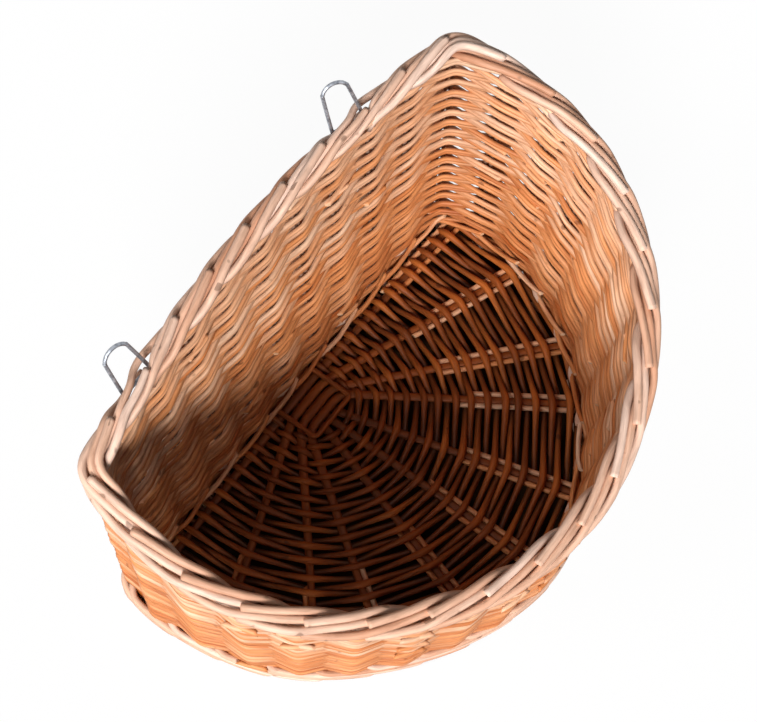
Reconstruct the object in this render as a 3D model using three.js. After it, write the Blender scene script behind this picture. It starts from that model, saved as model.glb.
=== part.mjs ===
// Half-round display basket of woven willow, with a high flat back, a lower bowed front, a rolled
// border made of the uprights' own tails, and two wire loops on the back rim to hang it by.
// Millimetres, +Z up, front towards -Y. The origin is on the floor, under the middle of the back.
import * as THREE from "three";

// Overall size, measured to the outside of the willow
const WIDTH = 400;
const BASE_WIDTH = 380;
const BACK_HEIGHT = 272;
const FRONT_HEIGHT = 193;
const RIM_BACK = 14.7; // the rim's back leans out past the foot
const RIM_FRONT = -258;
const RIM_WIDEST = -81;
const RIM_BOW = 21; // the middle of the rim's back stands behind its two corners
const RIM_SHOULDER = 16; // the widest place stands this far outside the back corners
const RIM_CORNER = WIDTH / 2 - RIM_SHOULDER;
const RIM_POWER = 1.9; // 2 is an ellipse, less is a little more pointed
const BASE_BACK = 3;
const BASE_FRONT = -238;
const BASE_WIDEST = -48;
const BASE_SHOULDER = 7;
const BASE_CORNER = BASE_WIDTH / 2 - BASE_SHOULDER;
const BASE_POWER = 1.8;
const CORNER_ROUND = 24;

// Willow rods and wire
const UPRIGHT = 5.2;
const WEAVER = 3.6;
const FOOT_ROD = 5.6;
const BASE_WEAVER = 3.6;
const STICK_WIDE = 5.2;
const STICK_THICK = 3.6;
const WIRE = 2.6;
const CLEAR = 0.3; // between rods that touch

// How many of each
const BACK_SPACES = 10;
const FRONT_SPACES = 19;
const UPRIGHTS = BACK_SPACES + FRONT_SPACES; // an odd number, so that a rod woven round alternates
const WEAVERS = 15;
const PASSES = 54; // uprights that one weaver passes on its way round
const FOOT_RODS = 3;
const CROSS_STICKS = 4;
const FRONT_STICKS = 3;
const BASE_ROWS = 18;

// Rolled border: each upright bends over and runs along the rim from the inside to the outside
const TURN = THREE.MathUtils.degToRad(73); // how far it rolls over from one upright to the next
const ROLL_START = 0.3; // in spaces between uprights
const ROLL_END = 2.85;
const ROLL_FROM = THREE.MathUtils.degToRad(200);
const ROLL = (UPRIGHT + 2 * CLEAR) / (2 * Math.sin(TURN / 2));
const BORDER = 2 * ROLL + UPRIGHT;
const NECK = 11; // below the middle of the border, where the upright starts to bend

// Base
const SLATH_Y = -27.5; // middle of the crossing sticks
const SLATH_SPACE = 7.6;
const SLATH_HALF = 18;
const BASE_LIFT = STICK_THICK / 2 + CLEAR + BASE_WEAVER + 1.1;
const BASE_MIDDLE = 12.5;
const WALL_LOW = 24; // lowest woven row above the floor

// Hanging loops
const LOOP_SPAN = 22;
const LOOP_HIGH = 30;
const LOOP_LEAN = THREE.MathUtils.degToRad(20);
const LOOP_SET_BACK = 5; // the outer leg stands behind the border, the inner one goes through it
const LOOP_DROP = 5.5;

const pale = new THREE.MeshStandardMaterial({ color: 0xe6c3a4, roughness: 0.7 });
const tan = new THREE.MeshStandardMaterial({ color: 0xd79a62, roughness: 0.7 });
const brown = new THREE.MeshStandardMaterial({ color: 0x9c6436, roughness: 0.75 });
const steel = new THREE.MeshStandardMaterial({ color: 0x9aa0a8, roughness: 0.4, metalness: 0.9 });

const basket = new THREE.Group();
basket.name = "display_basket";

// A run of straight lengths through given points, sampled at those points only.
class Run extends THREE.Curve {
  constructor(points) {
    super();
    this.points = points;
  }

  getPoint(t, target = new THREE.Vector3()) {
    const place = t * (this.points.length - 1);
    const i = Math.min(Math.floor(place + 1e-9), this.points.length - 2);
    return target.lerpVectors(this.points[i], this.points[i + 1], place - i);
  }

  getPointAt(u, target) {
    return this.getPoint(u, target);
  }

  getTangentAt(u, target = new THREE.Vector3()) {
    const half = 0.5 / (this.points.length - 1);
    const before = this.getPoint(Math.max(0, u - half));
    const after = this.getPoint(Math.min(1, u + half));
    return target.subVectors(after, before).normalize();
  }
}

// A regular section, stretched to a height across the lie of the rod and a width along it.
function section(high, wide, sides, turn = 0) {
  const corners = Array.from({ length: sides }, (_, i) => {
    const a = turn + (i / sides) * 2 * Math.PI;
    return new THREE.Vector2((high / 2) * Math.cos(a), (wide / 2) * Math.sin(a));
  });
  return new THREE.Shape(corners);
}

function rod(name, points, shape, material) {
  const geometry = new THREE.ExtrudeGeometry(shape, {
    steps: points.length - 1,
    bevelEnabled: false,
    extrudePath: new Run(points),
  });
  const mesh = new THREE.Mesh(geometry, material);
  mesh.name = name;
  basket.add(mesh);
}

// The D-shaped line of the uprights at one level, as a back and a front that meet at the corners.
class Outline {
  constructor({ halfWidth, corner, back, bow, widest, front, power }) {
    const bowAt = (x) => back - bow * (x / corner) ** 2;
    const cornerTurn = Math.acos(corner / halfWidth);
    const rear = (bowAt(corner) - widest) / Math.sin(cornerTurn);
    const leave = Math.asin((bowAt(corner) - CORNER_ROUND - widest) / rear);
    const start = new THREE.Vector2(corner - CORNER_ROUND, bowAt(corner - CORNER_ROUND));
    const end = new THREE.Vector2(halfWidth * Math.cos(leave), widest + rear * Math.sin(leave));
    const peak = new THREE.Vector2(corner, bowAt(corner));
    const bend = new THREE.QuadraticBezierCurve(start, peak, end);
    const straight = this.#sample(24, (t) => {
      return new THREE.Vector2(t * start.x, bowAt(t * start.x));
    });
    const shoulder = this.#sample(10, (t) => {
      const a = leave * (1 - t);
      return new THREE.Vector2(halfWidth * Math.cos(a), widest + rear * Math.sin(a));
    });
    const belly = this.#sample(60, (t) => {
      const a = (t * Math.PI) / 2;
      const x = halfWidth * Math.max(0, Math.cos(a)) ** (2 / power);
      return new THREE.Vector2(x, widest - (widest - front) * Math.sin(a) ** (2 / power));
    });
    const first = this.#sample(6, (t) => bend.getPoint(t / 2));
    const second = this.#sample(6, (t) => bend.getPoint(0.5 + t / 2));
    this.back = this.#both([...first.reverse(), ...straight.reverse().slice(1)], true);
    this.front = this.#both([...second, ...shoulder.slice(1), ...belly.slice(1)], false);
  }

  #sample(count, point) {
    return Array.from({ length: count + 1 }, (_, i) => point(i / count));
  }

  // From points of the right half, ending on the middle line, the whole line clockwise from above.
  #both(right, towardsRight) {
    const left = right.map((p) => new THREE.Vector2(-p.x, p.y));
    const ends = towardsRight ? [left, right] : [right, left];
    const line = [...ends[0], ...ends[1].reverse().slice(1)];
    const curve = new THREE.CatmullRomCurve3(line.map((p) => new THREE.Vector3(p.x, p.y, 0)));
    curve.arcLengthDivisions = 1500;
    return curve;
  }

  // The place on the line, counted in uprights from the left corner along the back.
  at(place) {
    const turn = THREE.MathUtils.euclideanModulo(place, UPRIGHTS);
    if (turn <= BACK_SPACES) return this.back.getPointAt(turn / BACK_SPACES);
    return this.front.getPointAt((turn - BACK_SPACES) / FRONT_SPACES);
  }

  along(place) {
    return this.at(place + 0.02).sub(this.at(place - 0.02)).normalize();
  }

  outward(place) {
    const t = this.along(place);
    return new THREE.Vector3(-t.y, t.x, 0);
  }
}

const footIn = FOOT_ROD * 1.16 + CLEAR + UPRIGHT / 2;
const baseLine = new Outline({
  halfWidth: BASE_WIDTH / 2 - footIn,
  corner: BASE_CORNER - footIn,
  back: BASE_BACK - footIn,
  bow: 0,
  widest: BASE_WIDEST,
  front: BASE_FRONT + footIn,
  power: BASE_POWER,
});
const rimLine = new Outline({
  halfWidth: WIDTH / 2 - BORDER / 2,
  corner: RIM_CORNER - BORDER / 2,
  back: RIM_BACK - BORDER / 2,
  bow: RIM_BOW,
  widest: RIM_WIDEST,
  front: RIM_FRONT + BORDER / 2,
  power: RIM_POWER,
});

// Middle of the border above a place of the rim line: the rim falls evenly from back to front.
function rimMiddle(place) {
  const p = rimLine.at(place);
  const fall = (RIM_BACK - BORDER / 2 - p.y) / (RIM_BACK - RIM_FRONT - BORDER);
  p.z = THREE.MathUtils.lerp(BACK_HEIGHT, FRONT_HEIGHT, fall) - BORDER / 2;
  return p;
}

// A point beside the middle of the border, outwards and upwards of it.
function beside(place, out, up) {
  const p = rimMiddle(place).addScaledVector(rimLine.outward(place), out);
  p.z += up;
  return p;
}

// A point on upright k at a share of its height from the floor to its neck.
function onUpright(k, share) {
  const low = baseLine.at(k);
  return low.lerp(beside(k, 0, -NECK), share);
}

// Uprights with their border tails
function upright(k) {
  const points = [onUpright(k, 0.6 / BACK_HEIGHT), onUpright(k, 1)];
  const roll = (u) => ROLL_FROM - TURN * (u - ROLL_START);
  const inner = ROLL * Math.cos(ROLL_FROM);
  const low = ROLL * Math.sin(ROLL_FROM);
  [0.35, 0.7].forEach((t) => {
    const q = (1 - t) ** 2;
    points.push(beside(k + ROLL_START * t * t, inner * (1 - q), low * (1 - q) - NECK * q));
  });
  const steps = 11;
  for (let i = 0; i <= steps; i += 1) {
    const u = THREE.MathUtils.lerp(ROLL_START, ROLL_END, i / steps);
    points.push(beside(k + u, ROLL * Math.cos(roll(u)), ROLL * Math.sin(roll(u))));
  }
  return points;
}

for (let k = 0; k < UPRIGHTS; k += 1) {
  let name = k < BACK_SPACES ? `back_upright_${k}` : `front_upright_${k - BACK_SPACES}`;
  if (k === 0) name = "left_corner_upright";
  if (k === BACK_SPACES) name = "right_corner_upright";
  rod(name, upright(k), section(UPRIGHT, UPRIGHT, 5), pale);
}

// A point beside upright k, out from the wall by a reach that also clears it at a corner.
function past(k, share, reach) {
  const here = onUpright(k, share);
  const before = here.clone().sub(onUpright(k - 1, share)).setZ(0).normalize();
  const after = onUpright(k + 1, share).sub(here).setZ(0).normalize();
  const middle = before.clone().add(after).normalize();
  const side = reach / middle.dot(after);
  return here.add(new THREE.Vector3(-middle.y * side, middle.x * side, 0));
}

// Side weavers, one after another in a rising spiral, each passing outside and inside by turns
function weavePoint(pass) {
  const neck = beside(pass, 0, -NECK).z;
  const low = WALL_LOW / neck;
  const share = THREE.MathUtils.lerp(low, 1 - WEAVER / 3 / neck, pass / (WEAVERS * PASSES + 1));
  const reach = UPRIGHT / 2 + WEAVER / 2 + CLEAR + 0.2;
  return past(pass, share, pass % 2 === 0 ? reach : -reach);
}

for (let w = 0; w < WEAVERS; w += 1) {
  const first = w * PASSES;
  const last = first + PASSES;
  const end = 0.5 - CLEAR / 40;
  const points = [weavePoint(first).lerp(weavePoint(first + 1), 1 - end)];
  for (let pass = first + 1; pass <= last; pass += 1) points.push(weavePoint(pass));
  points.push(weavePoint(last).lerp(weavePoint(last + 1), end));
  rod(`side_weaver_${w + 1}`, points, section(WEAVER, WEAVER, 4), tan);
}

// Foot rods, laid round the outside of the uprights; the lowest one's flat stands on the floor
for (let i = 0; i < FOOT_RODS; i += 1) {
  const wide = FOOT_ROD / Math.cos(Math.PI / 6);
  const z = FOOT_ROD / 2 + i * (FOOT_ROD + CLEAR);
  const beyond = (k) => {
    const share = z / beside(k, 0, -NECK).z;
    return past(k, share, UPRIGHT / 2 + CLEAR + wide / 2).setZ(z);
  };
  const start = BACK_SPACES + 3 + 6 * i;
  const end = 0.5 - CLEAR / 40;
  const points = [beyond(start).lerp(beyond(start + 1), 1 - end)];
  for (let k = start + 1; k <= start + UPRIGHTS; k += 1) points.push(beyond(k));
  points.push(beyond(start).lerp(beyond(start + 1), end));
  rod(`foot_rod_${i + 1}`, points, section(wide, wide, 6, Math.PI / 6), pale);
}

// Base: cross sticks over front sticks at the slath, fanned out to the wall
const spokes = 2 * CROSS_STICKS + FRONT_STICKS;

// The end of a spoke, between two uprights and butted on the inside of the foot rods; spokes are
// counted from the right back corner round to the left.
function spokeEnd(j) {
  const even = BACK_SPACES + 0.5 + (j * (FRONT_SPACES - 1)) / (spokes - 1);
  const nearest = Math.round(even);
  const aside = Math.max(Math.abs(even - nearest), 0.3);
  const place = nearest + (even < nearest ? -aside : aside);
  const k = Math.floor(place);
  const share = BASE_MIDDLE / beside(k, 0, -NECK).z;
  const from = past(k, share, UPRIGHT / 2 + CLEAR);
  const foot = past(k + 1, share, UPRIGHT / 2 + CLEAR).sub(from);
  const end = from.addScaledVector(foot, place - k).setZ(BASE_MIDDLE);
  const root = spokeRoot(j);
  const run = end.clone().sub(root).setZ(0).normalize();
  const slant = Math.abs(run.dot(foot.setZ(0).normalize()));
  const square = Math.sqrt(1 - slant * slant);
  return end.addScaledVector(run, -(CLEAR + 0.1 + (STICK_WIDE / 2) * slant) / square);
}

// Where a spoke leaves the slath, above the middle of the base for cross sticks, below for others.
function spokeRoot(j) {
  const lift = STICK_THICK / 2 + CLEAR;
  const row = Math.min(j, spokes - 1 - j);
  if (row < CROSS_STICKS) {
    const y = SLATH_Y + SLATH_SPACE * ((CROSS_STICKS - 1) / 2 - row);
    const x = j < CROSS_STICKS ? SLATH_HALF : -SLATH_HALF;
    return new THREE.Vector3(x, y, BASE_MIDDLE + lift);
  }
  const x = SLATH_SPACE * ((spokes - 1) / 2 - j);
  return new THREE.Vector3(x, SLATH_Y - SLATH_HALF, BASE_MIDDLE - lift);
}

function onSpoke(j, share) {
  return spokeRoot(j).lerp(spokeEnd(j), share);
}

const stick = section(STICK_THICK, STICK_WIDE, 6);
for (let row = 0; row < CROSS_STICKS; row += 1) {
  const left = spokes - 1 - row;
  const points = [spokeEnd(left), spokeRoot(left), spokeRoot(row), spokeEnd(row)];
  rod(`base_cross_stick_${row + 1}`, points, stick, brown);
}
for (let i = 0; i < FRONT_STICKS; i += 1) {
  const j = CROSS_STICKS + i;
  const back = spokeRoot(j);
  back.y = SLATH_Y + SLATH_SPACE * 1.5;
  rod(`base_front_stick_${i + 1}`, [back, spokeRoot(j), spokeEnd(j)], stick, brown);
}

// Base weaver: to and fro over and under the spokes, turning round the rearmost stick
const basePoints = [];
for (let row = 0; row < BASE_ROWS; row += 1) {
  const share = (r) => THREE.MathUtils.lerp(0.24, 0.965, r / (BASE_ROWS - 1));
  for (let i = 0; i < spokes; i += 1) {
    const j = row % 2 === 0 ? i : spokes - 1 - i;
    const p = onSpoke(j, share(row));
    p.z += (row + j) % 2 === 0 ? BASE_LIFT : -BASE_LIFT;
    basePoints.push(p);
  }
  if (row < BASE_ROWS - 1) {
    const turn = onSpoke(row % 2 === 0 ? spokes - 1 : 0, share(row + 0.5));
    turn.y += STICK_WIDE / 2 + CLEAR + BASE_WEAVER / 2 + 0.4;
    basePoints.push(turn);
  }
}
rod("base_weaver", basePoints, section(BASE_WEAVER, BASE_WEAVER, 4), brown);

// Hanging loops: wire bent round the outermost border rod, its cut ends butted below that rod
function loop(name, k) {
  const step = 1 / rimLine.at(k + 3).distanceTo(rimLine.at(k + 2));
  const place = k + ROLL_END + (WIRE / 2 + 4 * CLEAR) * step;
  const lean = Math.tan(LOOP_LEAN);
  const point = (along, back, up) => {
    return beside(place + along * step, ROLL + back + up * lean, up);
  };
  const points = [];
  const gap = WIRE / 8;
  points.push(point(-LOOP_SPAN / 2 + gap, LOOP_SET_BACK / 2, -LOOP_DROP));
  points.push(point(-2.5, 0.6, -LOOP_DROP));
  points.push(point(-0.6, 0, -LOOP_DROP + 0.8));
  points.push(point(0, 0, -LOOP_DROP + 3));
  const top = LOOP_HIGH - 8;
  const arc = 8;
  for (let i = 0; i <= arc; i += 1) {
    const a = (i / arc) * Math.PI;
    const along = -LOOP_SPAN / 2 + (LOOP_SPAN / 2 - 2.5) * Math.cos(a);
    const back = (LOOP_SET_BACK / 2) * (1 - Math.cos(a));
    points.push(point(along, back, top + 8 * Math.sin(a)));
  }
  points.push(point(-LOOP_SPAN, LOOP_SET_BACK, -LOOP_DROP + 3));
  points.push(point(-LOOP_SPAN + 0.6, LOOP_SET_BACK, -LOOP_DROP + 0.8));
  points.push(point(-LOOP_SPAN + 2.5, LOOP_SET_BACK - 0.6, -LOOP_DROP));
  points.push(point(-LOOP_SPAN / 2 - gap, LOOP_SET_BACK / 2, -LOOP_DROP));
  rod(name, points, section(WIRE, WIRE, 8), steel);
}
loop("left_hanger", -1);
loop("right_hanger", 5);

export default basket;
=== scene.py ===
"""Dresses the half-round willow display basket with its rods, border, base and hanging loops."""
import logging
import math
from collections import defaultdict
from dataclasses import dataclass, field, replace
from enum import Enum
from typing import Any

import bpy
import numpy as np
from mathutils import Matrix, Vector


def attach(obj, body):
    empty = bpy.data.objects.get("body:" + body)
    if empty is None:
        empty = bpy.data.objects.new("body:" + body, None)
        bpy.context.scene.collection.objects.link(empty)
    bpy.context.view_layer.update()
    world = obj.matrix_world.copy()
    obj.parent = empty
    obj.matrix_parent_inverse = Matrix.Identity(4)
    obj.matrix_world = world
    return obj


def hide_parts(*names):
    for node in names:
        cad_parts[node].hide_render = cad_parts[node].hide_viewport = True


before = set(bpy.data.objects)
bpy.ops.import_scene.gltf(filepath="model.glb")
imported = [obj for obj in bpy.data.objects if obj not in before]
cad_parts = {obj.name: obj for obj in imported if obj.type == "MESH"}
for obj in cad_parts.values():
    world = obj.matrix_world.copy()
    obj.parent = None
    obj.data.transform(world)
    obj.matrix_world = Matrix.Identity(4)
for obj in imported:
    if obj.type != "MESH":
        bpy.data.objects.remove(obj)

Array = np.ndarray
Random = np.random.Generator
Material = bpy.types.Material
Piece = bpy.types.Object
Triple = tuple[float, float, float]
Colour = tuple[float, float, float, float]
Levels = tuple[int, int, int]
Swell = tuple[float, float, float, float]
LOG = logging.getLogger("basket")
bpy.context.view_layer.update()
SEED = 41
UP = np.array([0.0, 0.0, 1.0])
WHITE = (1.0, 1.0, 1.0, 1.0)


def linear(levels: Levels) -> Colour:
    """Turns an 8-bit display colour into the linear colour that a shader socket takes.

    Args:
        levels: Red, green and blue, 0 to 255.

    Returns:
        The linear colour with full alpha.
    """
    part = np.array(levels) / 255.0
    value = np.where(part <= 0.04045, part / 12.92, ((part + 0.055) / 1.055) ** 2.4)
    return (*value.tolist(), 1.0)


def unit(vectors: Array) -> Array:
    """Scales vectors on the last axis to length one."""
    return vectors / np.maximum(np.linalg.norm(vectors, axis=-1, keepdims=True), 1e-12)


def columns(*parts: Array) -> Array:
    """Puts arrays side by side on a new last axis."""
    return np.stack(parts, axis=-1)


def run_along(line: Array) -> Array:
    """The length along a line at each of its points."""
    steps = np.linalg.norm(np.diff(line, axis=0), axis=1)
    return np.concatenate([[0.0], np.cumsum(steps)])


def between(value: Array, low: float, high: float) -> Array:
    """How far values have come from low to high, from nothing to one."""
    return np.clip((value - low) / (high - low), 0.0, 1.0)


def round_from(place: Array, other: Any, count: int) -> Array:
    """Distances from other places the shorter way round, in spaces between uprights."""
    return np.mod(place - other + count / 2, count) - count / 2


def own_tone(
    chance: Random, mean: float, spread: float, low: float = 0.0, high: float = 1.0
) -> float:
    """A rod's own tone, 0 dark to 1 light, from a normal spread kept within its limits."""
    return float(np.clip(chance.normal(mean, spread), low, high))


def eased(corners: Array, step: float, window: int) -> Array:
    """Eases a line through corners: evenly spaced points, then a weighted running mean.

    The mean's weights are a raised cosine, and the line goes on evenly past its ends, so that the
    ends stay where they are.

    Args:
        corners: Points, one row each; columns after the third are carried along.
        step: Spacing of the new points in millimetres.
        window: Points in the running mean, an odd number.

    Returns:
        The eased points, with the same columns.
    """
    length = run_along(corners[:, :3])
    fine = np.linspace(0.0, length[-1], int(length[-1] / step) + 2)
    line = columns(*(np.interp(fine, length, column) for column in corners.T))
    half = window // 2
    before = 2 * line[0] - line[half:0:-1]
    after = 2 * line[-1] - line[-2 : -half - 2 : -1]
    padded = np.concatenate([before, line, after])
    weights = np.hanning(window + 2)[1:-1]
    weights = weights / weights.sum()
    return columns(*(np.convolve(column, weights, "valid") for column in padded.T))


def placed(name: str, data: Any) -> Piece:
    """Puts a mesh, lamp or camera in the scene.

    Args:
        name: The object's name.
        data: What it shows.

    Returns:
        The linked object.
    """
    made = bpy.data.objects.new(name, data)
    bpy.context.scene.collection.objects.link(made)
    return made


class Signal:
    """A shader socket that takes part in Python expressions, each adding a Math node."""

    def __init__(self, shading: "Shading", socket: bpy.types.NodeSocket) -> None:
        """Keeps the socket and the tree that it belongs to."""
        self.shading = shading
        self.socket = socket

    def _math(self, operation: str, first: Any, second: Any) -> "Signal":
        """Adds one Math node on two values or signals."""
        return self.shading.node("Math", {0: first, 1: second}, operation=operation)

    def __add__(self, other: Any) -> "Signal":
        """Sum."""
        return self._math("ADD", self, other)

    def __radd__(self, other: Any) -> "Signal":
        """Reflected sum."""
        return self._math("ADD", other, self)

    def __sub__(self, other: Any) -> "Signal":
        """Difference."""
        return self._math("SUBTRACT", self, other)

    def __rsub__(self, other: Any) -> "Signal":
        """Reflected difference."""
        return self._math("SUBTRACT", other, self)

    def __mul__(self, other: Any) -> "Signal":
        """Product."""
        return self._math("MULTIPLY", self, other)

    def __rmul__(self, other: Any) -> "Signal":
        """Reflected product."""
        return self._math("MULTIPLY", other, self)

    def __pow__(self, other: Any) -> "Signal":
        """Power."""
        return self._math("POWER", self, other)

    def most(self, other: Any) -> "Signal":
        """The larger of the two."""
        return self._math("MAXIMUM", self, other)


class Shading:
    """The node tree of one finish, made through one node method."""

    def __init__(self, owner: Material | bpy.types.World, output: str) -> None:
        """Clears the owner's tree and gives it an output node.

        Args:
            owner: The material or world.
            output: Type of its output node.
        """
        owner.use_nodes = True
        self.tree = owner.node_tree
        self.tree.nodes.clear()
        self.output = self.tree.nodes.new(output)

    @classmethod
    def of_material(cls, name: str) -> tuple["Shading", Material]:
        """Starts a new material and its tree."""
        material = bpy.data.materials.new(name)
        return cls(material, "ShaderNodeOutputMaterial"), material

    def node(
        self,
        kind: str,
        inputs: dict[str | int, Any] | None = None,
        output: str | int = 0,
        **settings: Any,
    ) -> Signal:
        """Adds a node, sets it up and feeds it.

        Args:
            kind: The node's Blender type, without its prefix.
            inputs: Values or signals by socket name or number.
            output: The socket that the returned signal carries.
            settings: Its properties, set before the inputs.

        Returns:
            The chosen output as a signal.
        """
        made = self.tree.nodes.new(f"ShaderNode{kind}")
        for key, value in settings.items():
            setattr(made, key, value)
        for key, value in (inputs or {}).items():
            if isinstance(value, Signal):
                self.tree.links.new(value.socket, made.inputs[key])
            else:
                made.inputs[key].default_value = value
        return Signal(self, made.outputs[output])

    def ramp(self, value: Signal, stops: list[tuple[float, Levels]]) -> Signal:
        """Turns a number into a colour between stops.

        Args:
            value: The number.
            stops: Places and display colours, in order.

        Returns:
            The colour.
        """
        colour = self.node("ValToRGB", {0: value})
        elements = colour.socket.node.color_ramp.elements
        while len(elements) < len(stops):
            elements.new(1.0)
        for element, (place, levels) in zip(elements, stops):
            element.position = place
            element.color = linear(levels)
        return colour

    def mix(self, factor: Any, first: Any, second: Any) -> Signal:
        """Mixes two colours: the first at factor 0, the second at factor 1."""
        return self.node("Mix", {0: factor, 6: first, 7: second}, 2, data_type="RGBA")

    def stretch(self, value: Any, low: float, high: float, end: float) -> Signal:
        """Maps low to high onto nothing to the end value, and stops there."""
        return self.node("MapRange", {0: value, 1: low, 2: high, 3: 0.0, 4: end})

    def attribute(self, name: str) -> Signal:
        """Reads one of the mesh's own numbers."""
        return self.node("Attribute", output="Fac", attribute_name=name)

    def surface(self, height: Signal, strength: float, depth: float, look: dict[str, Any]) -> None:
        """Finishes the tree with a principled shader over fine relief.

        Args:
            height: Height of the relief, 0 to 1.
            strength: How much of it shows.
            depth: Its depth in metres.
            look: The shader's other inputs.
        """
        relief = {"Strength": strength, "Distance": depth, "Height": height}
        bump = self.node("Bump", relief)
        self.finish(self.node("BsdfPrincipled", look | {"Normal": bump}))

    def finish(self, shader: Signal) -> None:
        """Links the shader to the output."""
        self.tree.links.new(shader.socket, self.output.inputs["Surface"])


@dataclass(frozen=True)
class WillowFinish:
    """Peeled willow: satin bark-free rods with long streaks, knots and pale cut ends."""

    name: str
    slot: str
    light: Levels
    middle: Levels
    deep: Levels
    streak: float
    painted_shade: float
    rough: float
    cut_end: Levels = (236, 208, 170)
    streaks: Triple = (0.05, 5.0, 3.0)
    grain: Triple = (0.12, 16.0, 4.0)
    patches: Triple = (0.022, 0.7, 2.0)
    knots: Triple = (0.11, 1.6, 0.0)

    def material(self) -> Material:
        """Builds the finish from the rod's own length and girth.

        The colour is the rod's own tone between three stops, darkened along streaks that are long
        in the rod's length and narrow round it, with small dark knots, painted shade where the mesh
        marks it and pale cut ends.

        Returns:
            The material.
        """
        shade, material = Shading.of_material(self.name)
        tone = shade.attribute("tone")
        rod = shade.node("UVMap", uv_map="Rod")
        apart = shade.node("CombineXYZ", {2: tone * 173.0})
        noises = (self.streaks, self.grain, self.patches, self.knots)
        streaks, grain, patches, knots = (self._noise(shade, rod, apart, n) for n in noises)
        stops = [(0.18, self.deep), (0.5, self.middle), (0.82, self.light)]
        colour = shade.ramp(tone * 0.62 + patches * 0.38, stops)
        lines = shade.stretch(streaks, 0.42, 0.72, self.streak)
        spots = shade.stretch(knots, 0.79, 0.84, 0.6)
        # Painted shade from the mesh, darkening the colour towards a deeper brown.
        painted_shade_factor = shade.attribute("painted_shade") * self.painted_shade
        for factor, share in ((lines, 0.62), (spots, 0.5), (painted_shade_factor, 0.5)):
            darker = tuple(int(level * share) for level in self.deep)
            colour = shade.mix(factor, colour, linear(darker))
        look = {
            "Base Color": shade.mix(shade.attribute("cut") * 0.5, colour, linear(self.cut_end)),
            "Roughness": self.rough + grain * 0.22 + spots * 0.1,
            "Specular IOR Level": 0.32,
        }
        shade.surface(grain * 0.7 + streaks * 0.5 - spots, 0.5, 0.00045, look)
        return material

    @staticmethod
    def _noise(shade: Shading, rod: Signal, apart: Signal, noise: Triple) -> Signal:
        """Noise on the rod's length and girth, stretched by a factor for each.

        Args:
            shade: The tree.
            rod: Length and girth.
            apart: Shift that sets one rod apart from the next.
            noise: Factors of length and girth, and the detail.

        Returns:
            The noise, 0 to 1.
        """
        length, girth, detail = noise
        inputs = {0: rod, 1: (length, girth, 0.0), 2: apart}
        place = shade.node("VectorMath", inputs, operation="MULTIPLY_ADD")
        inputs = {"Vector": place, "Scale": 1.0, "Detail": detail, "Roughness": 0.6}
        return shade.node("TexNoise", inputs)


@dataclass(frozen=True)
class WireFinish:
    """Dull galvanised wire with faint drawing lines and darker spangles."""

    name: str = "galvanised_wire"
    slot: str = "galvanised_wire"
    dark: Levels = (118, 122, 130)
    light: Levels = (186, 190, 198)

    def material(self) -> Material:
        """Builds the finish on Object coordinates.

        Returns:
            The material.
        """
        shade, material = Shading.of_material(self.name)
        place = shade.node("TexCoord", output="Object")
        spangle = shade.node("TexNoise", {"Vector": place, "Scale": 420.0, "Detail": 4.0})
        colour = shade.ramp(spangle, [(0.3, self.dark), (0.7, self.light)])
        look = {"Base Color": colour, "Metallic": 0.85, "Roughness": 0.3 + spangle * 0.25}
        shade.surface(spangle, 0.25, 0.0002, look)
        return material


class Finish(Enum):
    """The finishes of the basket's rods and wire."""

    BORDER = WillowFinish(
        "pale_border_willow",
        "pale_willow",
        light=(244, 214, 196),
        middle=(228, 182, 154),
        deep=(198, 134, 98),
        streak=0.42,
        painted_shade=0.8,
        rough=0.42,
    )
    SIDE = WillowFinish(
        "tan_side_willow",
        "tan_willow",
        light=(250, 208, 174),
        middle=(232, 152, 94),
        deep=(184, 90, 31),
        streak=0.4,
        painted_shade=0.9,
        rough=0.4,
    )
    BASE = WillowFinish(
        "brown_base_willow",
        "brown_willow",
        light=(212, 119, 50),
        middle=(175, 89, 33),
        deep=(118, 57, 19),
        streak=0.5,
        painted_shade=0.85,
        rough=0.44,
    )
    WIRE = WireFinish()


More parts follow.
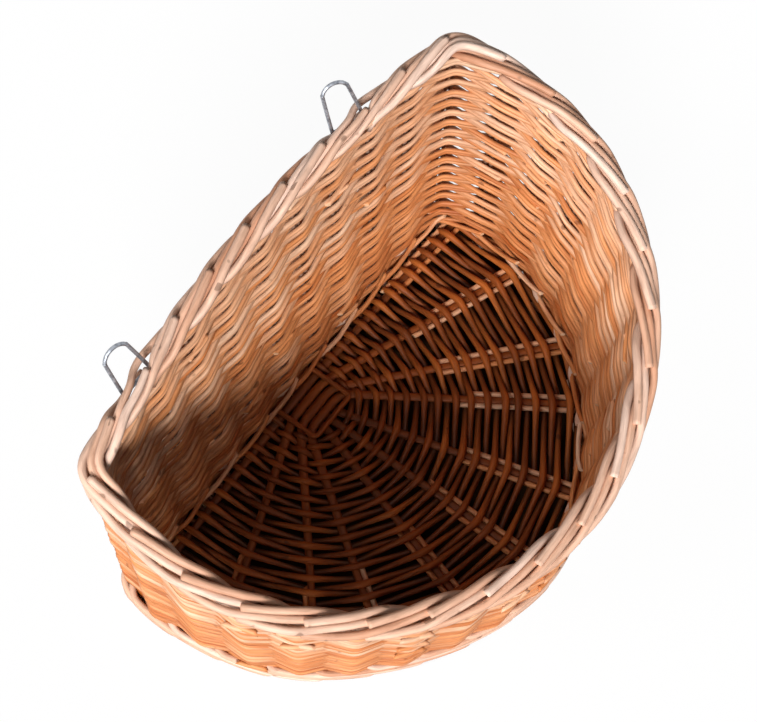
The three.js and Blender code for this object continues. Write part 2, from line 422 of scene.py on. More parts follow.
@dataclass
class RodMesh:
    """Rods gathered into one mesh, each a round or flattened section carried along a path."""

    sides: int
    painted_underside_shade: float = 0.8
    count: int = 0
    parts: dict[str, list[Array]] = field(default_factory=lambda: defaultdict(list))

    def add(
        self,
        path: Array,
        radius: Array | float,
        across: Array,
        tone: float,
        flat: float = 1.0,
        closed: bool = False,
        slant: tuple[float, float] = (0.0, 0.0),
        painted_shade: Array | float = 0.0,
    ) -> None:
        """Adds one rod.

        A point of the surface is the path's point plus the radius times cosine and sine of the
        turn on two axes square to the path: the first square to the across direction too, the
        second along it and flattened. Each cut end leans along the path by its slant. The parts
        that look down get painted shade.

        Args:
            path: Points of the middle line in millimetres, one row each.
            radius: Radius, the same or at each point.
            across: Direction that the second axis of the section lies nearest to.
            tone: The rod's own tone, 0 dark to 1 light.
            flat: Thickness along the second axis over the width.
            closed: Whether the path closes on itself.
            slant: Lean of the first and the last cut.
            painted_shade: Painted shade where it meets its neighbours, the same or one row for each
                point.
        """
        count, sides = len(path), self.sides
        radius = np.broadcast_to(radius, count)
        if closed:
            along = unit(np.roll(path, -1, axis=0) - np.roll(path, 1, axis=0))
        else:
            along = unit(np.gradient(path, axis=0))
        first = unit(np.cross(along, np.broadcast_to(across, path.shape)))
        second = np.cross(first, along)
        turn = np.arange(sides) * 2 * np.pi / sides
        ring = first[:, None] * np.cos(turn)[None, :, None]
        ring = ring + flat * second[:, None] * np.sin(turn)[None, :, None]
        lean = np.zeros((count, sides))
        lean[0] = slant[0] * radius[0] * np.cos(turn)
        lean[-1] = slant[1] * radius[-1] * np.cos(turn)
        surface = path[:, None] + radius[:, None, None] * ring + lean[:, :, None] * along[:, None]
        # Painted shade: the given amount, raised on the faces that look down.
        shade = np.maximum(painted_shade, self.painted_underside_shade * between(ring[:, :, 2], 0.5, -0.6))
        rows = np.arange(count if closed else count - 1)
        ends = np.arange(sides)
        here, there = np.meshgrid(rows, ends, indexing="ij")
        row = columns(here, here + 1, here + 1, here)
        column = columns(there, there, there + 1, there + 1)
        length = run_along(path)
        length = np.append(length, 2 * length[-1] - length[-2])
        quads = row % count * sides + column % sides
        wrap = columns(length[row], column / sides)
        faces = [(quads, 4, wrap, 0.0, shade[row % count, column % sides])]
        if not closed:
            caps = np.stack([ends, (count - 1) * sides + ends[::-1]])
            disc = columns(10 * np.cos(turn), 0.5 + 0.5 * np.sin(turn))
            faces.append((caps, sides, np.stack([disc, disc[::-1]]), 1.0, np.zeros(caps.shape)))
        for corner, size, wrap, cut, deep in faces:
            self.parts["corner"].append(corner.ravel() + self.count)
            self.parts["size"].append(np.full(corner.size // size, size))
            self.parts["map"].append(wrap.reshape(-1, 2))
            self.parts["tone"].append(np.full(corner.size, tone))
            self.parts["cut"].append(np.full(corner.size, cut))
            self.parts["painted_shade"].append(deep.ravel())
        self.parts["point"].append(surface.reshape(-1, 3))
        self.count += count * sides

    def piece(self, name: str, finish: Material) -> Piece:
        """Makes the object, in metres, with its length map, tones, cut ends and painted shade.

        Args:
            name: The piece's name.
            finish: Its material.

        Returns:
            The linked object.
        """
        mesh = bpy.data.meshes.new(name)
        joined = {key: np.concatenate(parts) for key, parts in self.parts.items()}
        sizes = joined["size"].astype(np.int32)
        starts = np.concatenate([[0], np.cumsum(sizes)[:-1]]).astype(np.int32)
        mesh.vertices.add(len(joined["point"]))
        mesh.vertices.foreach_set("co", joined["point"].ravel() * 0.001)
        mesh.loops.add(len(joined["corner"]))
        mesh.loops.foreach_set("vertex_index", joined["corner"].astype(np.int32))
        mesh.polygons.add(len(sizes))
        mesh.polygons.foreach_set("loop_start", starts)
        mesh.polygons.foreach_set("use_smooth", sizes == 4)
        mesh.update(calc_edges=True)
        mesh.uv_layers.new(name="Rod").data.foreach_set("uv", joined["map"].ravel())
        for key in ("tone", "cut", "painted_shade"):
            attribute = mesh.attributes.new(key, "FLOAT", "CORNER")
            attribute.data.foreach_set("value", joined[key])
        mesh.materials.append(finish)
        return placed(name, mesh)


@dataclass
class Outline:
    """The D-shaped line of the uprights at one level, in millimetres."""

    half_width: float
    corner: float
    back: float
    bow: float
    widest: float
    front: float
    power: float
    rounding: float = 24.0
    swells: tuple[Swell, ...] = ()
    back_spaces: int = 10
    front_spaces: int = 19
    line: Array = field(init=False)
    place: Array = field(init=False)

    def __post_init__(self) -> None:
        """Samples the line: a bowed back, a rounded corner, a shoulder and a bellied front.

        The back is a parabola, the corner a quadratic curve on the tangents, the shoulder part of
        an ellipse and the front a quarter of a superellipse; the left half mirrors the right.
        """
        drop = self.back - self.bow - self.widest
        rear = drop / math.sin(math.acos(self.corner / self.half_width))
        leave = math.asin((drop - self.rounding) / rear)
        x = np.linspace(0.0, self.corner - self.rounding, 60)
        back = columns(x, self.back - self.bow * (x / self.corner) ** 2)
        turn = np.linspace(leave, 0.0, 30)
        shoulder = columns(self.half_width * np.cos(turn), self.widest + rear * np.sin(turn))
        t = np.linspace(0.0, 1.0, 41)[:, None]
        peak = np.array([self.corner, self.back - self.bow])
        bend = (1 - t) ** 2 * back[-1] + 2 * t * (1 - t) * peak + t**2 * shoulder[0]
        turn = np.linspace(0.0, np.pi / 2, 240)
        across = self.half_width * np.maximum(np.cos(turn), 0.0) ** (2 / self.power)
        along = self.widest - (self.widest - self.front) * np.sin(turn) ** (2 / self.power)
        belly = columns(across, along)
        mirror = np.array([-1.0, 1.0])
        rear_half = np.concatenate([back, bend[1:21]])
        fore_half = np.concatenate([bend[20:], shoulder[1:], belly[1:]])
        rear_line = np.concatenate([rear_half[::-1] * mirror, rear_half[1:]])
        fore_line = np.concatenate([fore_half, fore_half[-2::-1] * mirror])
        self.line = np.concatenate([rear_line, fore_line[1:]])
        rear_share = self._share(rear_line) * self.back_spaces
        fore_share = self.back_spaces + self._share(fore_line) * self.front_spaces
        self.place = np.concatenate([rear_share, fore_share[1:]])

    @staticmethod
    def _share(line: Array) -> Array:
        """The share of a line's length at each of its points."""
        run = run_along(line)
        return run / run[-1]

    def at(self, place: Array) -> Array:
        """Points at places counted in uprights, clockwise from the left back corner.

        Each swell moves the line by a bell curve of the place about the swell's middle.

        Args:
            place: Places, in spaces between uprights.

        Returns:
            Points in the plane of the floor, one row each.
        """
        spaces = self.back_spaces + self.front_spaces
        turn = np.mod(place, spaces)
        x = np.interp(turn, self.place, self.line[:, 0])
        y = np.interp(turn, self.place, self.line[:, 1])
        for middle, width, right, back in self.swells:
            bell = np.exp(-((round_from(turn, middle, spaces) / width) ** 2))
            x, y = x + right * bell, y + back * bell
        return columns(x, y, np.zeros_like(x))

    def outward(self, place: Array) -> Array:
        """Level directions square to the line, away from the inside."""
        along = unit(self.at(place + 0.06) - self.at(place - 0.06))
        return columns(-along[..., 1], along[..., 0], np.zeros_like(along[..., 0]))

    def beyond(self, place: Array, out: Array | float, height: Array | float) -> Array:
        """Points at places on the line, moved outwards and lifted."""
        level = self.at(place) + self.outward(place) * np.asarray(out)[..., None]
        return level + UP * np.asarray(height)[..., None]

    def inset(self, by: float) -> "Outline":
        """The line that lies inside of this one by a distance."""
        half, corner, back = self.half_width - by, self.corner - by, self.back - by
        return replace(self, half_width=half, corner=corner, back=back, front=self.front + by)


RIM = Outline(200.0, corner=184.0, back=14.7, bow=21.0, widest=-81.0, front=-258.0, power=1.9)
FOOT = Outline(190.0, corner=183.0, back=3.0, bow=0.0, widest=-48.0, front=-238.0, power=1.8)


@dataclass
class BasketForm:
    """The sizes that all pieces share, in millimetres, from the outer lines of rim and foot."""

    outer_rim: Outline
    outer_foot: Outline
    count: int = 29
    upright: float = 5.2
    clear: float = 0.3
    back_height: float = 272.0
    front_height: float = 193.0
    neck: float = 11.0
    turn: float = math.radians(73)
    foot_rod: float = 5.6
    foot_stretch: float = 1.16

    def __post_init__(self) -> None:
        """Works out the roll of the border and the two lines of the wall."""
        self.roll = (self.upright + 2 * self.clear) / (2 * math.sin(self.turn / 2))
        self.border = 2 * self.roll + self.upright
        foot = self.foot_rod * self.foot_stretch + self.clear + self.upright / 2
        self.base = self.outer_foot.inset(foot)
        self.rim = self.outer_rim.inset(self.border / 2)

    def beside(self, place: Array, out: Array | float, up: Array | float) -> Array:
        """Points beside the middle of the border, which falls evenly from back to front.

        Args:
            place: Places in spaces between uprights.
            out: Distance outwards of the middle.
            up: Distance above it.

        Returns:
            Points, one row each.
        """
        fall = (self.rim.back - self.rim.at(place)[:, 1]) / (self.rim.back - self.rim.front)
        height = self.back_height + (self.front_height - self.back_height) * fall
        return self.rim.beyond(place, out, height + (up - self.border / 2))

    def wall(self, place: Array, share: Array, out: Array | float) -> Array:
        """Points on the wall's middle at shares of its height up to the necks, moved outwards.

        Args:
            place: Places in spaces between uprights.
            share: Shares of the height from floor to neck.
            out: Distance outwards of the wall's middle.

        Returns:
            Points, one row each.
        """
        low = self.base.at(place)
        high = self.beside(place, 0.0, -self.neck)
        share = share[:, None]
        side = unit(self.base.outward(place) * (1 - share) + self.rim.outward(place) * share)
        return low + (high - low) * share + side * np.asarray(out)[..., None]

    def neck_height(self, place: Array) -> Array:
        """Heights of the necks above the floor."""
        return self.beside(place, 0.0, -self.neck)[:, 2]


@dataclass
class Uprights:
    """Twenty-nine pairs of rods that stand in the wall and bend over into the border.

    A place in the border is the spaces from the upright, the distance outwards and the distance
    above the border's middle. The upright's own tail goes under, comes up beside the cut end of
    another and runs down the outside. Its partner, close beside it, comes up inside, lies over
    the top and is cut.
    """

    form: BasketForm
    finish: Material
    sides: int = 10
    thick: float = 5.7
    stand: int = 11
    uneven: float = 0.22
    tail: tuple[Triple, ...] = (
        (0.0, 0.0, -11.0),
        (0.45, 0.2, -7.8),
        (0.9, 0.3, -5.8),
        (1.3, -0.9, -3.6),
        (1.55, -1.4, -1.4),
        (1.85, -0.8, 1.4),
        (2.05, 0.8, 2.6),
        (2.59, 3.7, 1.2),
        (2.85, 5.9, -0.4),
        (3.05, 6.7, -1.8),
        (3.59, 6.6, -5.0),
        (3.9, 5.6, -7.8),
    )
    partner: tuple[Triple, ...] = (
        (-0.12, -0.6, -11.0),
        (-0.06, -3.0, -9.4),
        (0.08, -5.2, -6.4),
        (0.3, -6.9, -2.6),
        (0.57, -7.0, 1.8),
        (0.85, -5.4, 3.9),
        (1.05, -3.9, 4.8),
        (1.57, -0.2, 5.4),
        (1.85, 2.2, 4.7),
    )
    loops: tuple[float, float] = (1.66, 7.66)
    loop_room: float = 0.6
    loop_thinner: float = 0.14
    outer_out: float = 2.7
    outer_down: float = 2.1
    behind_in: float = 2.9
    behind_up: float = 0.7
    lowest_down: float = 4.2
    dip_height: float = -10.2

    def build(self) -> list[Piece]:
        """Makes one piece for each upright."""
        return [self._piece(k) for k in range(self.form.count)]

    def _name(self, k: int) -> str:
        """The solid that an upright stands for.

        Args:
            k: The upright.

        Returns:
            The solid's name.
        """
        corner = self.form.rim.back_spaces
        if k in (0, corner):
            return "left_corner_upright" if k == 0 else "right_corner_upright"
        return f"back_upright_{k}" if k < corner else f"front_upright_{k - corner}"

    def _near_loop(self, place: Array) -> Array:
        """Nearness to a wire loop: one at its middle, nothing a space away, by a flat bell curve."""
        apart = round_from(place[:, None], np.array(self.loops), self.form.count)
        return np.exp(-((apart / self.loop_room) ** 4)).sum(axis=1)

    def _aside(self, k: int, along: Array, out: Array, up: Array) -> tuple[Array, Array]:
        """Makes room where a wire loop goes through the border.

        The rod within the loop moves outwards and down, those behind it inwards and a little up,
        and the lowest of these down. How far each moves grows evenly with its place. A tail that
        ends at the loop dips under it.

        Args:
            k: The upright.
            along: Places along the rod, counted from its upright.
            out: Distances outwards of the border's middle.
            up: Distances above it.

        Returns:
            The new distances outwards and above.
        """
        near = self._near_loop(k + along)
        behind = between(out, -4.0, -1.0) * np.maximum(between(out, 0.8, 0.0), between(up, 3.4, 4.4))
        lowest = between(up, -3.4, -4.9) * behind
        reach = min(np.mod(np.array(self.loops) - k, self.form.count))
        dip = between(along, reach - 0.8, reach - 0.4) * (3.0 < reach < 4.0)
        up = up + dip * (self.dip_height - up)
        outer = between(out, 3.6, 5.0) * (1.0 - dip)
        down = self.lowest_down * lowest + self.outer_down * outer
        moved = out + near * (self.outer_out * outer - self.behind_in * behind)
        return moved, up + near * (self.behind_up * behind - down)

    def _in_border(self, k: int, keys: tuple[Triple, ...], chance: Random) -> Array:
        """Points of a rod in the border, straight from key to key, with their places.

        Args:
            k: The upright.
            keys: The rod's places in the border.
            chance: Source of its unevenness.

        Returns:
            Points with their place round the rim as fourth column.
        """
        corner = np.array(keys)
        corner[1:, 1:] += chance.normal(0.0, self.uneven, corner[1:, 1:].shape)
        along = np.linspace(corner[0, 0], corner[-1, 0], 120)
        out, up = (np.interp(along, corner[:, 0], corner[:, n]) for n in (1, 2))
        out, up = self._aside(k, along, out, up)
        return np.column_stack([self.form.beside(k + along, out, up), k + along])

    def _piece(self, k: int) -> Piece:
        """Makes one upright and its partner: full in the border, thinner with painted shade in the
        wall.

        Args:
            k: Its place, clockwise from the left back corner.

        Returns:
            The piece.
        """
        form, chance = self.form, np.random.default_rng(SEED + k)
        share = np.linspace(0.6 / form.back_height, 1.0, self.stand + 1)[:-1]
        rods = RodMesh(self.sides)
        for keys in (self.tail, self.partner):
            place = np.full(self.stand, k + keys[0][0])
            stand = np.column_stack([form.wall(place, share, 0.0), place])
            path = eased(np.concatenate([stand, self._in_border(k, keys, chance)]), 2.0, 9)
            wobble = np.sin(np.linspace(0.0, 0.07 * len(path), len(path)) + chance.uniform(0, 6))
            taper = np.linspace(1.04, 0.96, len(path)) * chance.uniform(0.95, 1.05)
            above = path[:, 2] - form.neck_height(path[:, 3])
            radius = self.thick / 2 * taper * (0.5 + 0.5 * between(above, -10.0, 4.0))
            radius *= 1.0 + 0.03 * wobble
            radius *= 1.0 - self.loop_thinner * self._near_loop(path[:, 3])
            tone = own_tone(chance, 0.55, 0.2, 0.05, 0.98)
            # Painted shade on the rods where they stand in the wall, behind the weave.
            painted_shade_in_wall = between(above, 0.0, -8.0)[:, None]
            across = form.rim.outward(path[:, 3])
            rods.add(path[:, :3], radius, across, tone, slant=(0.0, 0.4), painted_shade=painted_shade_in_wall)
        made = rods.piece(f"{self._name(k)}_rod", self.finish)
        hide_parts(self._name(k))
        return made


@dataclass
class SideWeave:
    """Thin tapered rods woven round the uprights in pairs, row on row in plain weave."""

    form: BasketForm
    finish: Material
    rows: int = 36
    lifts: tuple[float, float] = (-0.25, 0.25)
    thick: float = 3.8
    low: float = 11.0
    above_neck: float = 5.5
    held: float = 2.0
    corner_cut: float = 2.5
    shade: float = 0.35
    astray: float = 0.04
    uneven: float = 0.36
    passes: tuple[int, int] = (17, 33)
    bands: int = 5
    sides: int = 8

    def build(self) -> list[Piece]:
        """Makes the weave as bands of rods, each for three of the solid weavers.

        Returns:
            The pieces.
        """
        chance = np.random.default_rng(SEED)
        self.shifts = chance.normal(0.0, self.astray, self.form.count)
        total = self.rows * self.form.count
        meshes = [RodMesh(self.sides) for _ in range(self.bands)]
        for lift in self.lifts:
            start = 0
            while start < total - 6:
                stop = min(start + int(chance.integers(*self.passes)), total)
                band = min(start * self.bands // total, self.bands - 1)
                self._weaver(meshes[band], np.arange(start, stop + 1), lift, chance)
                start = stop
        made = []
        for index, mesh in enumerate(meshes):
            piece = mesh.piece(f"side_weave_band_{index + 1}", self.finish)
            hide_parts(*(f"side_weaver_{3 * index + n}" for n in (1, 2, 3)))
            made.append(piece)
        return made

    def _weaver(self, mesh: RodMesh, passed: Array, lift: float, chance: Random) -> None:
        """Adds one rod.

        It lies outside and inside of the uprights by turns, straight from one to the next, rises
        evenly, and tapers from its thick end to its tip, which lies over the next rod's start.
        Inside a corner it cuts across.

        Args:
            mesh: The band that it goes into.
            passed: Uprights that it passes, counted from the first row's start.
            lift: How far it lies above the middle of its row, in rows.
            chance: Source of its thickness, tone and unevenness.
        """
        form, total = self.form, self.rows * self.form.count
        side = np.where(passed % 2 == 0, 1.0, -1.0)
        side = np.concatenate([side[:1], side, side[-1:]])
        counted = np.concatenate([[passed[0] - 0.3], passed, [passed[-1] + 0.26]])
        at = np.mod(counted, form.count)
        place = at + self.shifts[np.round(at).astype(int) % form.count]
        neck = form.neck_height(place)
        high = np.clip(counted / total, 0.0, 1.0) + lift / self.rows
        share = (self.low + (neck + self.above_neck - self.low) * high) / neck
        size = self.thick / 2 * chance.uniform(0.9, 1.08)
        out = (size + self.held) * side * chance.uniform(0.85, 1.12, len(counted))
        out[-2:] += 0.5 * size * side[-2:]
        out -= self.corner_cut * ((at == 0) | (at == form.rim.back_spaces)) * (side < 0)
        corners = form.wall(place, share, out)
        corners[:, 2] += chance.normal(0.0, self.uneven, len(counted))
        path = eased(np.column_stack([corners, side]), 2.2, 5)
        # Painted shade where the rod passes from one side of the uprights to the other.
        crossing = (1.0 - np.abs(path[:, 3:])) * self.shade
        radius = size * np.linspace(1.05, 0.92, len(path)) * (1.0 + 0.1 * path[:, 3])
        # The rod's tone rises with the height of its row: the weave is darker towards the bottom.
        tone = own_tone(chance, 0.31 + 0.52 * high[0], 0.13)
        mesh.add(path[:, :3], radius, UP, tone, slant=(0.8, -0.8), painted_shade=crossing)


@dataclass
class FootWale:
    """A wale of thicker rods that twists round the bottom edge, each rod over three uprights."""

    form: BasketForm
    finish: Material
    inner: Material
    thick: float = 5.2
    held: float = 2.1
    span: float = 4.2
    start: float = -4.2
    climb: float = 14.2
    ring_heights: tuple[float, float] = (5.5, 11.5)
    ring_out: float = 3.6
    ring_radius: float = 2.0
    stroke: tuple[Triple, ...] = (
        (-0.12, 17.0, -4.2),
        (0.1, 17.6, -5.6),
        (0.45, 19.2, -7.2),
        (0.9, 22.0, -6.8),
        (1.2, 24.6, -5.4),
    )
    sides: int = 10

    def build(self) -> list[Piece]:
        """Makes the whole wale.

        A rod starts inside the wall, comes out low by a smooth step, climbs evenly past three
        uprights and goes back in above the next rods. Two rods lie all round behind them.

        Returns:
            The pieces.
        """
        form, chance = self.form, np.random.default_rng(SEED + 100)
        rods = RodMesh(self.sides)
        along = np.linspace(0.0, self.span, 64)
        ease = between(np.minimum(along, self.span - along), 0.12, 0.72)
        ease = ease * ease * (3 - 2 * ease)
        out = self.start + (self.held + self.thick / 2 - self.start) * ease
        rise = between(along, 0.5, self.span - 0.5)
        for k in range(form.count):
            radius = self.thick / 2 * np.linspace(1.04, 0.92, 64) * chance.uniform(0.95, 1.04)
            path = form.base.beyond(k + along, out, self.thick / 2 + 0.05 + self.climb * rise)
            rods.add(path, radius, UP, own_tone(chance, 0.52, 0.2))
        around = np.arange(0.0, form.count, 0.05)
        for height in self.ring_heights:
            ring = form.base.beyond(around, self.ring_out, height)
            rods.add(ring, self.ring_radius, UP, 0.3, closed=True)
        made = rods.piece("foot_wale", self.finish)
        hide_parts("foot_rod_1", "foot_rod_2", "foot_rod_3")
        return [made, self._inner_rods(chance)]

    def _inner_rods(self, chance: Random) -> Piece:
        """Makes the strokes that lie inside the wall's foot, over the edge of the base.

        Each bows inwards from one upright to the next, and its end lies over the next one's start.

        Args:
            chance: Source of their lengths and tones.

        Returns:
            The piece.
        """
        form = self.form
        rods = RodMesh(self.sides)
        for k in range(form.count):
            place, height, out = np.array(self.stroke).T
            place = k + place + chance.uniform(-0.08, 0.08)
            height = height + chance.normal(0.0, 0.3, len(height))
            out = out + chance.normal(0.0, 0.4, len(out))
            path = eased(form.wall(place, height / form.neck_height(place), out), 2.2, 7)
            radius = np.linspace(2.0, 1.6, len(path))
            rods.add(path, radius, UP, own_tone(chance, 0.5, 0.2), slant=(0.6, -0.6))
        return rods.piece("inner_foot_strokes", self.inner)


@dataclass
class Base:
    """Split sticks crossing at the slath and fanned out, with rods woven over and under them."""

    form: BasketForm
    finish: Material
    butts: Material
    cross: int = 4
    ahead: int = 3
    first_place: float = 10.5
    last_place: float = 28.5
    beside_upright: float = 0.3
    middle: float = 12.5
    slath: float = -27.5
    space: float = 7.6
    half: float = 18.0
    lift: float = 2.1
    stick: float = 3.4
    stick_tip: float = 2.5
    flat: float = 0.56
    butt: float = 2.0
    butt_aside: float = 4.4
    rows: int = 29
    thick: float = 5.2
    bind: float = 2.0

    def build(self) -> list[Piece]:
        """Makes the sticks, the ends of the uprights beside them, and the weave.

        Spokes are counted from the right back round the front. The first and last ones are the
        two halves of the crossing sticks, the others the front sticks.

        Returns:
            The pieces.
        """
        spokes = 2 * self.cross + self.ahead
        index = np.arange(spokes)
        even = np.linspace(self.first_place, self.last_place, spokes)
        nearest = np.round(even)
        aside = np.maximum(np.abs(even - nearest), self.beside_upright)
        row = np.minimum(index, spokes - 1 - index)
        crossing = row < self.cross
        side = np.where(index < self.cross, self.half, -self.half)
        root_x = np.where(crossing, side, self.space * ((spokes - 1) / 2 - index))
        back = self.slath + self.space * ((self.cross - 1) / 2 - row)
        root_y = np.where(crossing, back, self.slath - self.half)
        lift = np.where(crossing, self.lift, -self.lift)
        self.roots = columns(root_x, root_y, self.middle + lift)
        places = nearest + np.where(even < nearest, -aside, aside)
        self.ends = self.form.base.beyond(places, 0.6, self.middle)
        return [*self._sticks(), self._upright_ends(), self._weave()]

    def _sticks(self) -> list[Piece]:
        """Makes the crossing sticks and the front sticks, flattened where they were split.

        Returns:
            The pieces.
        """
        chance = np.random.default_rng(SEED + 200)
        made = []
        for n in range(self.cross + self.ahead):
            if n < self.cross:
                name, shaded = f"base_cross_stick_{n + 1}", 0.15
                far = -1 - n
                corners = [self.ends[far], self.roots[far], self.roots[n], self.ends[n]]
            else:
                name, shaded = f"base_front_stick_{n - self.cross + 1}", 0.4
                rear = self.roots[n] * 1.0
                rear[1] = self.slath + self.space * 1.5
                corners = [rear, self.roots[n], self.ends[n]]
            path = eased(np.array(corners), 2.5, 9)
            tip = np.linspace(-1.0 if n < self.cross else 0.0, 1.0, len(path))
            radius = self.stick + (self.stick_tip - self.stick) * np.abs(tip)
            rods = RodMesh(10)
            tone = own_tone(chance, 0.3, 0.12)
            # An even painted shade on each stick, deeper on the front sticks.
            rods.add(path, radius, UP, tone, flat=self.flat, painted_shade=shaded)
            piece = rods.piece(f"{name}_split", self.finish)
            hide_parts(name)
            made.append(piece)
        return made

    def _upright_ends(self) -> Piece:
        """Makes the thick ends of the uprights, pushed into the weave on both sides of a stick.

        Returns:
            The piece.
        """
        chance = np.random.default_rng(SEED + 300)
        rods = RodMesh(8)
        for j, (root, end) in enumerate(zip(self.roots, self.ends)):
            run = unit(end - root)
            side = np.array([-run[1], run[0], 0.0])
            for sign in (-1.0, 1.0):
                start = chance.uniform(0.42, 0.6) + (0.18 if j > 6 else 0.0)
                share = np.linspace(start, 0.985, 24)[:, None]
                path = root + (end - root) * share
                path = path + side * sign * (self.butt_aside + 1.2 * (share - start))
                path[:, 2] += 0.3
                rods.add(path, self.butt, UP, own_tone(chance, 0.6, 0.16), slant=(0.7, 0.0))
        return rods.piece("upright_butt_ends", self.butts)

    def _weave(self) -> Piece:
        """Makes the weave: each row's rod lies over one stick and under the next, straight between.

        The next row lies the other way about. One more rod binds the slath all round.

        Returns:
            The piece.
        """
        chance = np.random.default_rng(SEED + 400)
        rods = RodMesh(8)
        index = np.arange(len(self.roots))
        for row in range(self.rows):
            share = 0.05 + 0.925 * (row + 0.15 * np.sin(5.0 * row)) / (self.rows - 1)
            radius = self.thick / 2 * chance.uniform(0.93, 1.05)
            corners = self.roots + (self.ends - self.roots) * share
            lift = (self.roots[:, 2] - self.middle) * (1 - share) * 0.6
            turn = np.where((index + row) % 2 == 0, 1.0, -1.0)
            corners[:, 2] = self.middle + lift + turn * (1.95 + radius)
            corners[:, :2] += chance.normal(0.0, 0.55, (len(index), 2))
            tails = corners[[0, -1]] + np.array([0.0, 7.0, 0.0])
            tails[:, 2] = self.middle + 0.6 * lift[[0, -1]]
            over = np.concatenate([[0.0], turn, [0.0]])
            line = np.concatenate([tails[:1], corners, tails[1:]])
            path = eased(np.column_stack([line, over]), 2.4, 7)
            swell = radius * np.linspace(1.04, 0.95, len(path)) * (0.8 + 0.4 * path[:, 3] ** 2)
            # Painted shade, most where the rod goes under a stick and least where it lies over one.
            painted_shade = np.clip(0.5 - 0.6 * path[:, 3:], 0.0, 1.0)
            rods.add(path[:, :3], swell, UP, own_tone(chance, 0.45, 0.24), painted_shade=painted_shade)
        rods.add(self._binding(), self.bind, UP, 0.35, closed=True)
        made = rods.piece("base_weave", self.finish)
        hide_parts("base_weaver")
        return made

    def _binding(self) -> Array:
        """The line of the rod round the slath, over the crossing sticks: a rounded square.

        Returns:
            Points, one row each.
        """
        x = self.half + 2.0
        rear, fore = self.slath + 2.2 * self.space, self.slath - self.half - 1.0
        square = [[0.0, rear], [x, rear], [x, fore], [-x, fore], [-x, rear], [0.0, rear]]
        height = np.full((len(square), 1), self.middle + self.lift + 2 * self.bind)
        return eased(np.concatenate([square, height], axis=-1), 1.6, 7)[:-1]


@dataclass
class HangingLoop:
    """A loop of wire round the outermost border rod, standing up behind the rim."""

    form: BasketForm
    finish: Material
    side: str
    upright: int
    roll_end: float = 2.85
    wire: float = 2.6
    span: float = 22.0
    narrower: float = 2.5
    high: float = 30.0
    arch: float = 8.0
    lean: float = math.radians(20)
    set_back: float = 5.0
    drop: float = 5.5

    def build(self) -> list[Piece]:
        """Makes the loop: corners in the loop's own plane, rounded by a closed smooth curve.

        A corner is its distance along the rim from the loop's first leg, outwards and above.

        Returns:
            The piece.
        """
        form, k = self.form, self.upright
        pair = form.rim.at(np.array([k + 2.0, k + 3.0]))
        step = 1 / float(np.linalg.norm(pair[1] - pair[0]))
        place = k + self.roll_end + (self.wire / 2 + 4 * form.clear) * step
        turn = np.linspace(0.0, np.pi, 9)
        middle, deep, far = -self.span / 2, -self.drop, -self.span
        arc = columns(
            middle - (middle + self.narrower) * np.cos(turn),
            self.set_back / 2 * (1 - np.cos(turn)),
            self.high - self.arch + self.arch * np.sin(turn),
        )
        foot = [
            [middle, self.set_back / 2, deep],
            [-2.5, 0.6, deep],
            [-0.6, 0.0, deep + 0.8],
            [0.0, 0.0, deep + 3.0],
        ]
        heel = [
            [far, self.set_back, deep + 3.0],
            [far + 0.6, self.set_back, deep + 0.8],
            [far + 2.5, self.set_back - 0.6, deep],
        ]
        local = self._smooth(np.concatenate([foot, arc, heel]))
        out = form.roll + local[:, 1] + local[:, 2] * math.tan(self.lean)
        path = form.beside(place + local[:, 0] * step, out, local[:, 2])
        square_to_loop = np.linalg.svd(path - path.mean(axis=0))[2][2]
        rods = RodMesh(14)
        rods.add(path, self.wire / 2, square_to_loop, 0.5, closed=True)
        made = rods.piece(f"{self.side}_loop_wire", self.finish)
        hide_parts(f"{self.side}_hanger")
        return [made]

    @staticmethod
    def _smooth(corners: Array, fine: int = 8) -> Array:
        """A closed curve through the corners: a cubic on four neighbours for each stretch.

        Args:
            corners: Points, one row each.
            fine: Points of the curve for each corner.

        Returns:
            The curve's points, one row each.
        """
        t = np.linspace(0.0, 1.0, fine, endpoint=False)[None, :, None]
        before, here, there, after = (np.roll(corners, n, axis=0)[:, None] for n in (1, 0, -1, -2))
        curve = 0.5 * (
            2 * here
            + (there - before) * t
            + (2 * before - 5 * here + 4 * there - after) * t**2
            + (3 * here - before - 3 * there + after) * t**3
        )
        return curve.reshape(-1, 3)


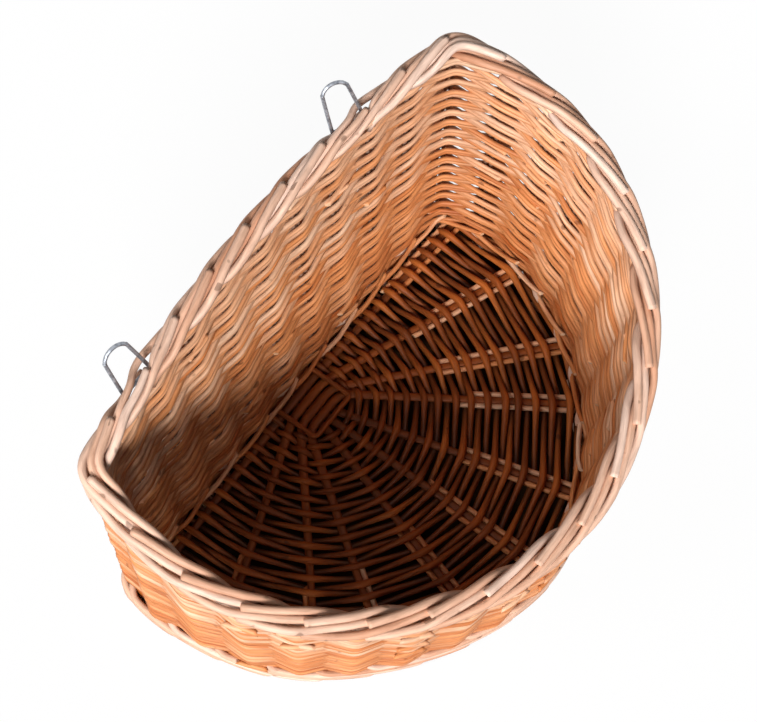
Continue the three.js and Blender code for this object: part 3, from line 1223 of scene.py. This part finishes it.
@dataclass(frozen=True)
class Studio:
    """A pale floor with a painted shadow under the basket, soft light from the front left and the
    photograph's camera.
    """

    azimuth: float = math.radians(-52.9)
    elevation: float = math.radians(68.1)
    distance: float = 1.4173
    target: Triple = (0.0119, -0.078, 0.1479)
    focal: float = 2171.1
    width: float = 757.0
    sensor: float = 36.0
    key: float = 4.3
    side: float = 1.0
    softness: float = math.radians(21)
    towards_key: Triple = (-0.77, -0.46, 0.64)
    towards_side: Triple = (-0.62, 0.35, 0.7)
    fill: float = 0.045
    backdrop: float = 0.95
    floor_half: float = 4.0
    floor_pale: Levels = (244, 244, 244)
    floor_painted_shadow: Levels = (60, 42, 28)
    under_half: float = 0.19
    under_widest: float = -0.05
    under_depth: float = 0.19
    under_back: float = -0.006
    under_power: float = 1.85
    under_steep: float = 150.0
    under_edge: tuple[float, float] = (0.96, 0.99)

    def build(self) -> None:
        """Puts the floor, the lights, the world and the camera in the scene."""
        self._camera()
        self._floor()
        self._lights()
        self._world()
        bpy.context.scene.view_settings.view_transform = "Standard"

    def _camera(self) -> None:
        """Looks at the target from the fitted angle and distance."""
        a, e = self.azimuth, self.elevation
        back = Vector((math.sin(a) * math.cos(e), -math.cos(a) * math.cos(e), math.sin(e)))
        eye = Vector(self.target) + back * self.distance
        right = Vector((math.cos(a), math.sin(a), 0.0))
        up = back.cross(right)
        lens = bpy.data.cameras.new("photograph_camera")
        lens.sensor_fit = "HORIZONTAL"
        lens.sensor_width = self.sensor
        lens.lens = self.focal * self.sensor / self.width
        lens.clip_start = 0.05
        made = placed("photograph_camera", lens)
        rows = [[right[i], up[i], back[i], eye[i]] for i in range(3)] + [[0, 0, 0, 1]]
        made.matrix_world = Matrix(rows)
        bpy.context.scene.camera = made

    @staticmethod
    def _seen(shade: Shading) -> Signal:
        """One for rays that show the background: from the camera, a mirror or glass.

        Args:
            shade: The tree.

        Returns:
            The sum of the three kinds of rays.
        """
        kinds = ("Is Camera Ray", "Is Glossy Ray", "Is Transmission Ray")
        camera, glossy, clear = (shade.node("LightPath", output=kind) for kind in kinds)
        return camera + glossy + clear

    def _reach(self, x: Signal, y: Signal) -> Signal:
        """How far out a place lies in the half-round shape of the base, one at its edge.

        It is the superellipse sum of the distance across and the distance ahead of the widest
        line, plus many times what lies behind the back.

        Args:
            x: Places across.
            y: Places from front to back.

        Returns:
            The reach.
        """
        across = x.most(-1.0 * x) * (1 / self.under_half)
        ahead = (self.under_widest - y).most(0.0) * (1 / self.under_depth)
        power = self.under_power
        behind = (y - self.under_back).most(0.0) * self.under_steep
        return (across**power + ahead**power) ** (1 / power) + behind

    def _floor(self) -> None:
        """A wide pale plane with a painted shadow under the basket, that keeps some of the basket's
        real shadow.
        """
        mesh = bpy.data.meshes.new("studio_floor")
        half = self.floor_half
        corners = [(-half, -half, 0.0), (half, -half, 0.0), (half, half, 0.0), (-half, half, 0.0)]
        mesh.from_pydata(corners, [], [(0, 1, 2, 3)])
        shade, material = Shading.of_material("studio_floor")
        place = shade.node("TexCoord", output="Object")
        x, y = (shade.node("SeparateXYZ", {0: place}, axis) for axis in ("X", "Y"))
        # One on the open floor and nothing under the basket, where the dark colour is a painted
        # shadow.
        open_floor = shade.stretch(self._reach(x, y), *self.under_edge, 1.0)
        colour = shade.mix(open_floor, linear(self.floor_painted_shadow), linear(self.floor_pale))
        matt = shade.node("BsdfDiffuse", {"Color": colour})
        glow = shade.node("Emission", {"Color": WHITE, "Strength": 1.0})
        white = self._seen(shade) * open_floor * self.backdrop
        shade.finish(shade.node("MixShader", {0: white, 1: matt, 2: glow}))
        mesh.materials.append(material)
        floor = placed("studio_floor", mesh)

    def _lights(self) -> None:
        """A broad key light from the front left and a weaker one over the left back corner."""
        lamps = {
            "key_light": (self.key, self.towards_key),
            "side_light": (self.side, self.towards_side),
        }
        for name, (energy, towards) in lamps.items():
            lamp = bpy.data.lights.new(name, "SUN")
            lamp.energy = energy
            lamp.angle = self.softness
            made = placed(name, lamp)
            made.rotation_euler = Vector(towards).to_track_quat("Z", "Y").to_euler()

    def _world(self) -> None:
        """White to the camera, and a plain even light on the basket."""
        world = bpy.data.worlds.new("studio_world")
        shade = Shading(world, "ShaderNodeOutputWorld")
        strength = self.fill + (1.0 - self.fill) * self._seen(shade)
        shade.finish(shade.node("Background", {"Color": WHITE, "Strength": strength}))
        bpy.context.scene.world = world


def main() -> None:
    """Builds the basket piece by piece.

    The loops hang on the plain form of the solids, and the rods follow the form with the uneven
    rim and foot.
    """
    logging.basicConfig(level=logging.INFO, format="%(message)s")
    plain = BasketForm(RIM, FOOT)
    swells = ((28.7, 1.0, -3.6, 3.4), (25.3, 1.7, -3.0, -2.2))
    form = BasketForm(
        replace(RIM, corner=188.5, bow=18.0, rounding=10.0),
        replace(FOOT, half_width=191.5, front=-242.0, rounding=9.0, swells=swells),
    )
    finishes = {finish: finish.value.material() for finish in Finish}
    Studio().build()
    pale, tan, brown, wire = (finishes[finish] for finish in Finish)
    groups = [
        (Uprights(form, pale), "basket"),
        (SideWeave(form, tan), "basket"),
        (FootWale(form, pale, tan), "basket"),
        (Base(form, brown, tan), "basket"),
        (HangingLoop(plain, wire, "left", -1), "left_loop"),
        (HangingLoop(plain, wire, "right", 5), "right_loop"),
    ]
    slots = {finishes[finish]: finish.value.slot for finish in Finish}
    for group, body in groups:
        for piece in group.build():
            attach(piece, body)
            slots[piece.data.materials[0]]
            LOG.info("%s: %d faces on %s", piece.name, len(piece.data.polygons), body)


if __name__ == "__main__":
    main()
